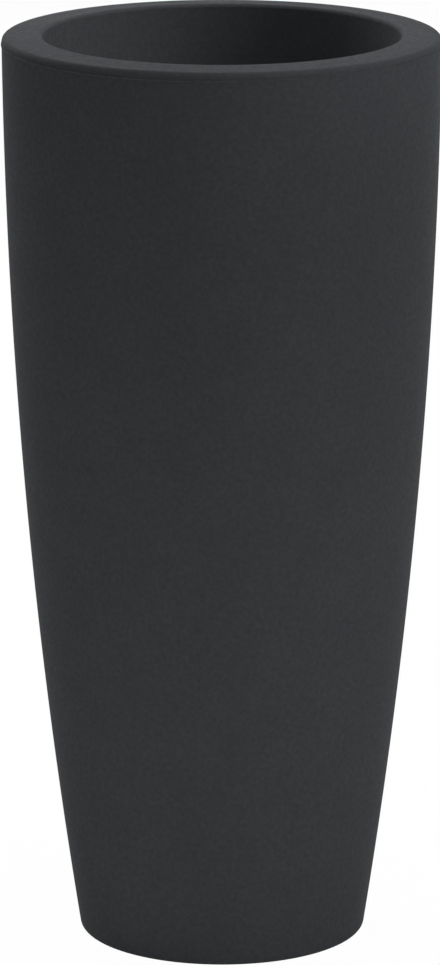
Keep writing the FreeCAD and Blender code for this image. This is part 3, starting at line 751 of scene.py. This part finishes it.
pin_steel, tree = new_material("drawn_stainless_steel")
place = add_node(tree, "ShaderNodeTexCoord", {}, {}).outputs["Object"]
drawn = add_node(tree, "ShaderNodeMapping", {}, {"Vector": place, "Scale": SCRATCH_STRETCH})
scratches = add_node(tree, "ShaderNodeTexNoise", {}, {
    "Vector": drawn.outputs[0], "Scale": 1 / SCRATCH_SIZE, "Detail": 3.0})
colour = add_node(tree, "ShaderNodeMix", {"data_type": "RGBA"}, {
    MIX_SHARE: scratches.outputs[0], MIX_FIRST: linear("#b4b5b8"), MIX_SECOND: linear("#d2d3d5")})
dullness = add_node(tree, "ShaderNodeMapRange", {}, {
    0: scratches.outputs[0], "From Min": NOISE_LOW, "From Max": NOISE_HIGH,
    "To Min": STEEL_BRIGHT, "To Max": STEEL_DULL})
bump = add_node(tree, "ShaderNodeBump", {}, {
    "Height": scratches.outputs[0], "Strength": 0.3, "Distance": SCRATCH_DEPTH})
shader = add_node(tree, "ShaderNodeBsdfPrincipled", {}, {
    "Base Color": colour.outputs[MIX_RESULT], "Metallic": 1.0, "Roughness": dullness.outputs[0],
    "Normal": bump.outputs[0]})
add_node(tree, "ShaderNodeOutputMaterial", {}, {"Surface": shader.outputs[0]})

# %% [markdown]
# Each piece now gets its material. The liner, the grid, the handles and the pins stay the CAD model's own
# pieces, because their facets are fine enough for their satin faces, so they only change materials.

# %% Materials on the pieces
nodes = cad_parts
FINISHES = [
    (pot_body, shell_plastic),
    (rim_ring, shell_plastic),
    (bush, drain_plastic),
    (plug, drain_plastic),
    (seal, seal_rubber),
    (nodes["liner_pot"], liner_plastic),
    (nodes["drainage_grid"], liner_plastic),
    (nodes["left_handle"], handle_plastic),
    (nodes["right_handle"], handle_plastic),
    (nodes["handle_pins"], pin_steel),
]
for piece, material in FINISHES:
    piece.data.materials.clear()
    piece.data.materials.append(material)
    print(piece.name, "wears", material.name)

# %% [markdown]
# ## The floor
# The photograph is cut out on plain white. Lamps strong enough to turn a floor white would burn out the dark
# plastic, so the floor shows itself to the camera as a light of strength 1, which is white, and the lamps
# stay at the level that suits the pot. The floor keeps a little of its own matt face, so that the pot still
# drops a faint shadow.

# %% Floor
# To the eye: studio paper, white and without a horizon.
FLOOR_HALF = 40.0               # metres, far past the frame from every side
FLOOR_DROP = 0.2 * MM           # keeps the paper's face apart from the standing ring's
GLOW_SHARE = 0.98               # the rest is the matt face that takes the shadow


def background_seen(tree):
    """Node whose output is 1 for rays from the camera and for those that gloss or glass sends on, else 0."""
    path = add_node(tree, "ShaderNodeLightPath", {}, {}).outputs
    seen = add_node(tree, "ShaderNodeMath", {"operation": "MAXIMUM"}, {
        0: path["Is Camera Ray"], 1: path["Is Glossy Ray"]})
    return add_node(tree, "ShaderNodeMath", {"operation": "MAXIMUM"}, {
        0: seen.outputs[0], 1: path["Is Transmission Ray"]})


floor_mesh = bpy.data.meshes.new("studio_floor")
floor_corners = np.array([(-1, -1), (1, -1), (1, 1), (-1, 1)]) * FLOOR_HALF
floor_mesh.from_pydata(np.insert(floor_corners, 2, -FLOOR_DROP, axis=1), [], [(0, 1, 2, 3)])
floor = bpy.data.objects.new("studio_floor", floor_mesh)
bpy.context.collection.objects.link(floor)
paper, tree = new_material("white_paper")
seen = background_seen(tree)
share = add_node(tree, "ShaderNodeMath", {"operation": "MULTIPLY"}, {0: seen.outputs[0], 1: GLOW_SHARE})
matt = add_node(tree, "ShaderNodeBsdfDiffuse", {}, {"Color": linear("#fafafa")})
glow = add_node(tree, "ShaderNodeEmission", {}, {"Color": linear("#ffffff"), "Strength": 1.0})
mixed = add_node(tree, "ShaderNodeMixShader", {}, {
    0: share.outputs[0], 1: matt.outputs[0], 2: glow.outputs[0]})
add_node(tree, "ShaderNodeOutputMaterial", {}, {"Surface": mixed.outputs[0]})
floor_mesh.materials.append(paper)
print("floor of", 2 * FLOOR_HALF, "m,", GLOW_SHARE, "of it a plain white glow")

# %% [markdown]
# ## The world
# The world is what lies round the scene in every direction. It is seen as white, as the floor is. As a light
# it is much weaker, because light from all sides alike flattens a round body: it only lifts the darkest
# shades a little.

# %% World
AMBIENT = 0.075

world = bpy.data.worlds.new("studio")
bpy.context.scene.world = world
world.use_nodes = True
tree = world.node_tree
tree.nodes.clear()
seen = background_seen(tree)
ambient = add_node(tree, "ShaderNodeBackground", {}, {"Color": linear("#ffffff"), "Strength": AMBIENT})
backdrop = add_node(tree, "ShaderNodeBackground", {}, {"Color": linear("#ffffff"), "Strength": 1.0})
mixed = add_node(tree, "ShaderNodeMixShader", {}, {
    0: seen.outputs[0], 1: ambient.outputs[0], 2: backdrop.outputs[0]})
add_node(tree, "ShaderNodeOutputWorld", {}, {"Surface": mixed.outputs[0]})
print("world lights the pot at", AMBIENT, "and is seen at 1")

# %% [markdown]
# ## The lamps
# The photograph's light is soft: the shade of the matt wall changes slowly, and the rim is its palest part.
# Area lamps are Blender's soft boxes, and the larger the lamp, the softer its shade. A lighting picture all
# round would do too, but lamps can be set one by one. Three small ones, with a narrow spread like that of a
# honeycomb grid on a real lamp, point into the mouth and leave the wall alone.

# %% Lamps
# place and aim in metres, width and height in metres, power in watts, spread in degrees
LAMPS = {
    # the rim's flat top
    "top_box": ((0.0, 0.0, 2.7), (0, 0, 0.6), 1.6, 1.6, 29.5, 180.0),
    # the right side of the wall
    "right_box": ((2.2, -0.4, 1.9), (0, 0, 0.6), 1.0, 1.0, 25.0, 180.0),
    # the lower half of the wall, which the lamps above hardly reach
    "front_strip": ((-0.06, -1.0, 0.10), (0, 0, 0.15), 2.2, 0.16, 3.8, 180.0),
    # the rim's far left and the pot's left edge
    "back_box": ((-1.6, 2.2, 2.0), (0, 0, 0.5), 1.4, 1.4, 45.0, 180.0),
    # the lower edges of the pot's outline, and its back
    "rear_box": ((0.5, 2.6, 0.40), (0, 0, 0.3), 1.6, 0.5, 4.0, 180.0),
    # the far left of the mouth's inside, its left, and its right
    "mouth_lamp": ((0.30, -0.45, 1.05), (-0.08, 0.095, 0.68), 0.12, 0.12, 0.0165, 20.0),
    "side_lamp": ((0.45, -0.40, 0.98), (-0.10, 0.07, 0.67), 0.2, 0.2, 0.0388, 25.0),
    "mouth_fill": ((-0.40, -0.30, 1.0), (0.11, 0.045, 0.68), 0.12, 0.12, 0.012, 18.0),
}

for name, (lamp_place, lamp_aim, width, height, power, spread) in LAMPS.items():
    lamp_data = bpy.data.lights.new(name, "AREA")
    lamp_data.shape = "RECTANGLE"
    lamp_data.size = width
    lamp_data.size_y = height
    lamp_data.energy = power
    lamp_data.spread = math.radians(spread)
    lamp = bpy.data.objects.new(name, lamp_data)
    lamp.visible_camera = False
    bpy.context.collection.objects.link(lamp)
    lamp.matrix_world = facing(Vector(lamp_place), Vector(lamp_aim))
    print(name, "of", power, "W")

# %% [markdown]
# ## Colour view
# The Standard view shows a colour as it is written, where Blender's own default would soften it as film does.
# The finished pieces should fill the CAD model's box, because other parts are set against that box.

# %% Colour view
bpy.context.scene.view_settings.view_transform = "Standard"
